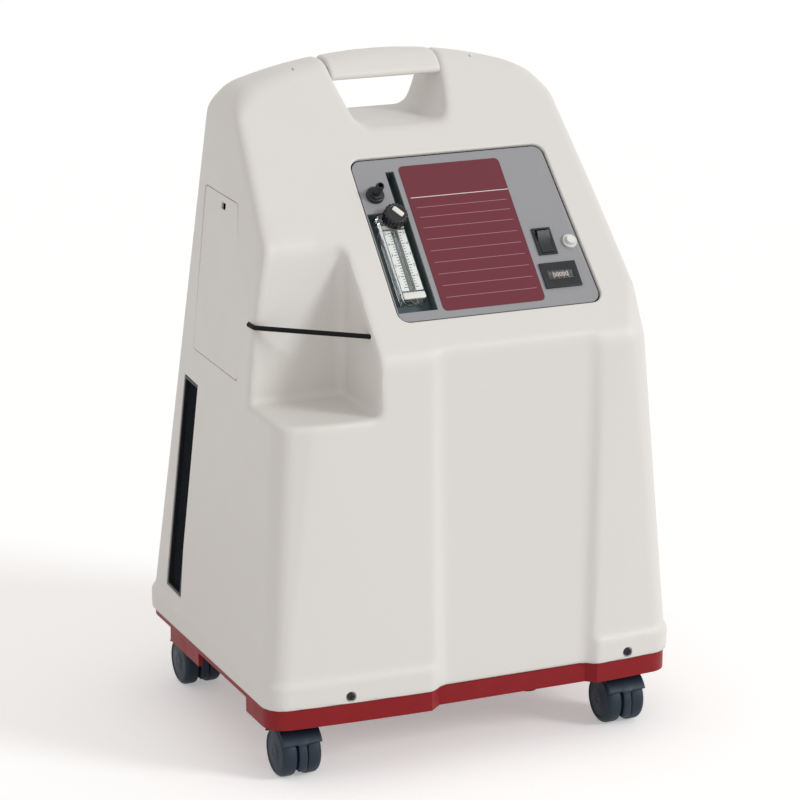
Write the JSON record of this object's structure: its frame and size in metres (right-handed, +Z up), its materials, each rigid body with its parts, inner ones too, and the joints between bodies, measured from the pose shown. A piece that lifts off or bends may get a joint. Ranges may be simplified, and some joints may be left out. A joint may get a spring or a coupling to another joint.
{
  "type": "oxygen concentrator",
  "caption": "Upright oxygen concentrator with sloping control panel, bottle niche, hand opening and swivel casters.",
  "frame": {"origin": "on the floor under the middle of the cabinet's skirt", "axes": "+Z up, the control face looks towards -Y, +X to the right of a person facing it"},
  "size_m": [0.44, 0.3544, 0.665],
  "materials": {
    "cabinet_plastic": "moulded cream plastic with a fine orange-peel texture",
    "base_plastic": "moulded dark red plastic",
    "black_plastic": "satin black plastic",
    "panel_plastic": "satin grey plastic",
    "label_film": "dark red overlay film, left bare",
    "clear_acrylic": "clear polished acrylic",
    "rubber_black": "black rubber",
    "foam": "open-cell black foam",
    "knob_plastic": "gloss black plastic",
    "button_plastic": "white plastic",
    "steel": "bare steel",
    "zinc_sheet": "zinc-plated sheet",
    "cast_aluminium": "cast and machined aluminium",
    "motor_paint": "grey paint",
    "hose_vinyl": "black vinyl hose",
    "board_green": "green laminate with dark components",
    "filter_white": "white plastic",
    "caster_plastic": "blue-black nylon",
    "wheel_rubber": "dark blue-grey tread"
  },
  "bodies": {
    "chassis": {"cabinet": "cabinet_plastic", "handle_bar": "cabinet_plastic", "base_tray": "base_plastic", "cabinet_screws": "black_plastic", "bottle_strap": "rubber_black", "panel_bezel": "panel_plastic", "panel_gasket": "rubber_black", "label_plate": "label_film", "flowmeter_block": "clear_acrylic", "oxygen_outlet": "black_plastic", "power_switch": "black_plastic", "breaker_body": "black_plastic", "hour_meter": "black_plastic", "hour_window": "clear_acrylic", "bulkhead": "zinc_sheet", "fan_shelf": "zinc_sheet", "compressor_body": "motor_paint", "compressor_heads": "cast_aluminium", "compressor_mounts": "rubber_black", "fan_frame": "black_plastic", "heat_exchanger": "cast_aluminium", "sieve_bed_left": "cast_aluminium", "sieve_bed_right": "cast_aluminium", "product_tank": "cast_aluminium", "valve_manifold": "cast_aluminium", "valve_solenoids": "black_plastic", "regulator": "steel", "circuit_board": "board_green", "capacitor": "cast_aluminium", "muffler": "black_plastic", "intake_filter": "filter_white", "power_inlet": "black_plastic", "intake_hose": "hose_vinyl", "supply_hose": "hose_vinyl", "product_hose": "hose_vinyl", "caster_sockets": "steel"},
    "access_door": {"access_door": "cabinet_plastic"},
    "left_filter": {"left_filter_frame": "black_plastic", "left_filter_foam": "foam"},
    "right_filter": {"right_filter_frame": "black_plastic", "right_filter_foam": "foam"},
    "flow_knob": {"flow_knob": "knob_plastic"},
    "flow_float": {"flow_float": "steel"},
    "power_rocker": {"power_rocker": "knob_plastic"},
    "breaker_button": {"breaker_button": "button_plastic"},
    "compressor_rotor": {"compressor_shaft": "steel", "compressor_fans": "black_plastic"},
    "fan_rotor": {"fan_rotor": "black_plastic"},
    "fl_caster": {"fl_housing": "caster_plastic"},
    "fl_wheel_a": {"fl_wheel_a": "wheel_rubber"},
    "fl_wheel_b": {"fl_wheel_b": "wheel_rubber"},
    "fr_caster": {"fr_housing": "caster_plastic"},
    "fr_wheel_a": {"fr_wheel_a": "wheel_rubber"},
    "fr_wheel_b": {"fr_wheel_b": "wheel_rubber"},
    "rl_caster": {"rl_housing": "caster_plastic"},
    "rl_wheel_a": {"rl_wheel_a": "wheel_rubber"},
    "rl_wheel_b": {"rl_wheel_b": "wheel_rubber"},
    "rr_caster": {"rr_housing": "caster_plastic"},
    "rr_wheel_a": {"rr_wheel_a": "wheel_rubber"},
    "rr_wheel_b": {"rr_wheel_b": "wheel_rubber"}
  },
  "joints": [
    {"name": "access_door_pull", "type": "slide", "parent": "chassis", "child": "access_door", "axis": [-0.9948, 0.0309, 0.0965], "range_m": [0, 0.06]},
    {"name": "left_filter_pull", "type": "slide", "parent": "chassis", "child": "left_filter", "axis": [-0.9962, 0, 0.0872], "range_m": [0, 0.04]},
    {"name": "right_filter_pull", "type": "slide", "parent": "chassis", "child": "right_filter", "axis": [0.9962, 0, 0.0872], "range_m": [0, 0.04]},
    {"name": "flow_knob_turn", "type": "hinge", "parent": "chassis", "child": "flow_knob", "pos_m": [-0.043, -0.06107, 0.52526], "axis": [0, -0.728, 0.6855], "range_deg": [0, 720]},
    {"name": "flow_float_rise", "type": "slide", "parent": "chassis", "child": "flow_float", "axis": [0, 0.6855, 0.728], "range_m": [0, 0.062]},
    {"name": "rocker_tip", "type": "hinge", "parent": "chassis", "child": "power_rocker", "pos_m": [0.107, -0.08228, 0.48961], "axis": [1, 0, 0], "range_deg": [-16, 0]},
    {"name": "breaker_pop", "type": "slide", "parent": "chassis", "child": "breaker_button", "axis": [0, -0.728, 0.6855], "range_m": [0, 0.004]},
    {"name": "compressor_spin", "type": "hinge", "parent": "chassis", "child": "compressor_rotor", "pos_m": [-0.029, -0.07675, 0.168], "axis": [1, 0, 0], "continuous": true},
    {"name": "fan_spin", "type": "hinge", "parent": "chassis", "child": "fan_rotor", "pos_m": [0.04, -0.06475, 0.3], "axis": [0, 0, 1], "continuous": true},
    {"name": "fl_swivel", "type": "hinge", "parent": "chassis", "child": "fl_caster", "pos_m": [-0.1805, -0.12, 0.058], "axis": [0, 0, 1], "continuous": true},
    {"name": "fl_wheel_a_spin", "type": "hinge", "parent": "fl_caster", "child": "fl_wheel_a", "pos_m": [-0.19325, -0.135, 0.025], "axis": [1, 0, 0], "continuous": true},
    {"name": "fl_wheel_b_spin", "type": "hinge", "parent": "fl_caster", "child": "fl_wheel_b", "pos_m": [-0.16775, -0.135, 0.025], "axis": [1, 0, 0], "continuous": true},
    {"name": "fr_swivel", "type": "hinge", "parent": "chassis", "child": "fr_caster", "pos_m": [0.1725, -0.12, 0.058], "axis": [0, 0, 1], "continuous": true},
    {"name": "fr_wheel_a_spin", "type": "hinge", "parent": "fr_caster", "child": "fr_wheel_a", "pos_m": [0.15975, -0.135, 0.025], "axis": [1, 0, 0], "continuous": true},
    {"name": "fr_wheel_b_spin", "type": "hinge", "parent": "fr_caster", "child": "fr_wheel_b", "pos_m": [0.18525, -0.135, 0.025], "axis": [1, 0, 0], "continuous": true},
    {"name": "rl_swivel", "type": "hinge", "parent": "chassis", "child": "rl_caster", "pos_m": [-0.1805, 0.12, 0.058], "axis": [0, 0, 1], "continuous": true},
    {"name": "rl_wheel_a_spin", "type": "hinge", "parent": "rl_caster", "child": "rl_wheel_a", "pos_m": [-0.19325, 0.135, 0.025], "axis": [1, 0, 0], "continuous": true},
    {"name": "rl_wheel_b_spin", "type": "hinge", "parent": "rl_caster", "child": "rl_wheel_b", "pos_m": [-0.16775, 0.135, 0.025], "axis": [1, 0, 0], "continuous": true},
    {"name": "rr_swivel", "type": "hinge", "parent": "chassis", "child": "rr_caster", "pos_m": [0.1725, 0.12, 0.058], "axis": [0, 0, 1], "continuous": true},
    {"name": "rr_wheel_a_spin", "type": "hinge", "parent": "rr_caster", "child": "rr_wheel_a", "pos_m": [0.15975, 0.135, 0.025], "axis": [1, 0, 0], "continuous": true},
    {"name": "rr_wheel_b_spin", "type": "hinge", "parent": "rr_caster", "child": "rr_wheel_b", "pos_m": [0.18525, 0.135, 0.025], "axis": [1, 0, 0], "continuous": true}
  ]
}
